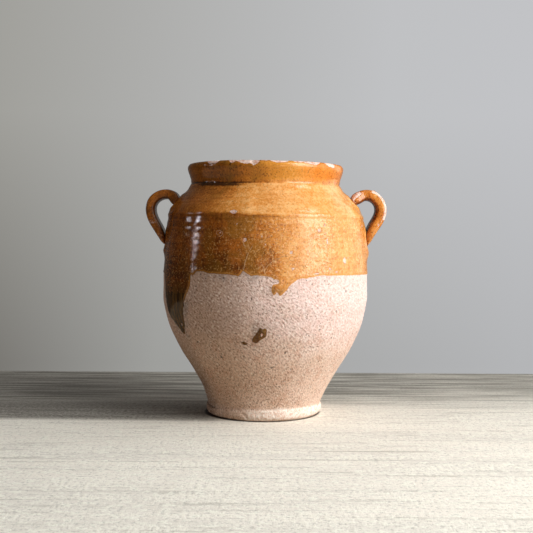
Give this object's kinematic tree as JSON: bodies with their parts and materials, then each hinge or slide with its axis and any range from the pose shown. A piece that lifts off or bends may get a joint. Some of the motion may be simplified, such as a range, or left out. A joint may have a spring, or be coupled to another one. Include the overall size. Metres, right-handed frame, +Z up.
{
  "type": "confit pot",
  "caption": "Wide-bellied earthenware preserving jar with a flared collar and strap handles, glazed on its upper half.",
  "frame": {"origin": "centre of the flat underside, on the axis of the potter's wheel", "axes": "+Z up along the wheel's axis, the handles along X, the side that the picture shows towards -Y"},
  "size_m": [0.2594, 0.221, 0.27],
  "materials": {
    "pot": "glossy amber glaze over the upper half and the inside, bare cream-pink clay below"
  },
  "bodies": {
    "root": {"pot": "pot"}
  },
  "joints": []
}
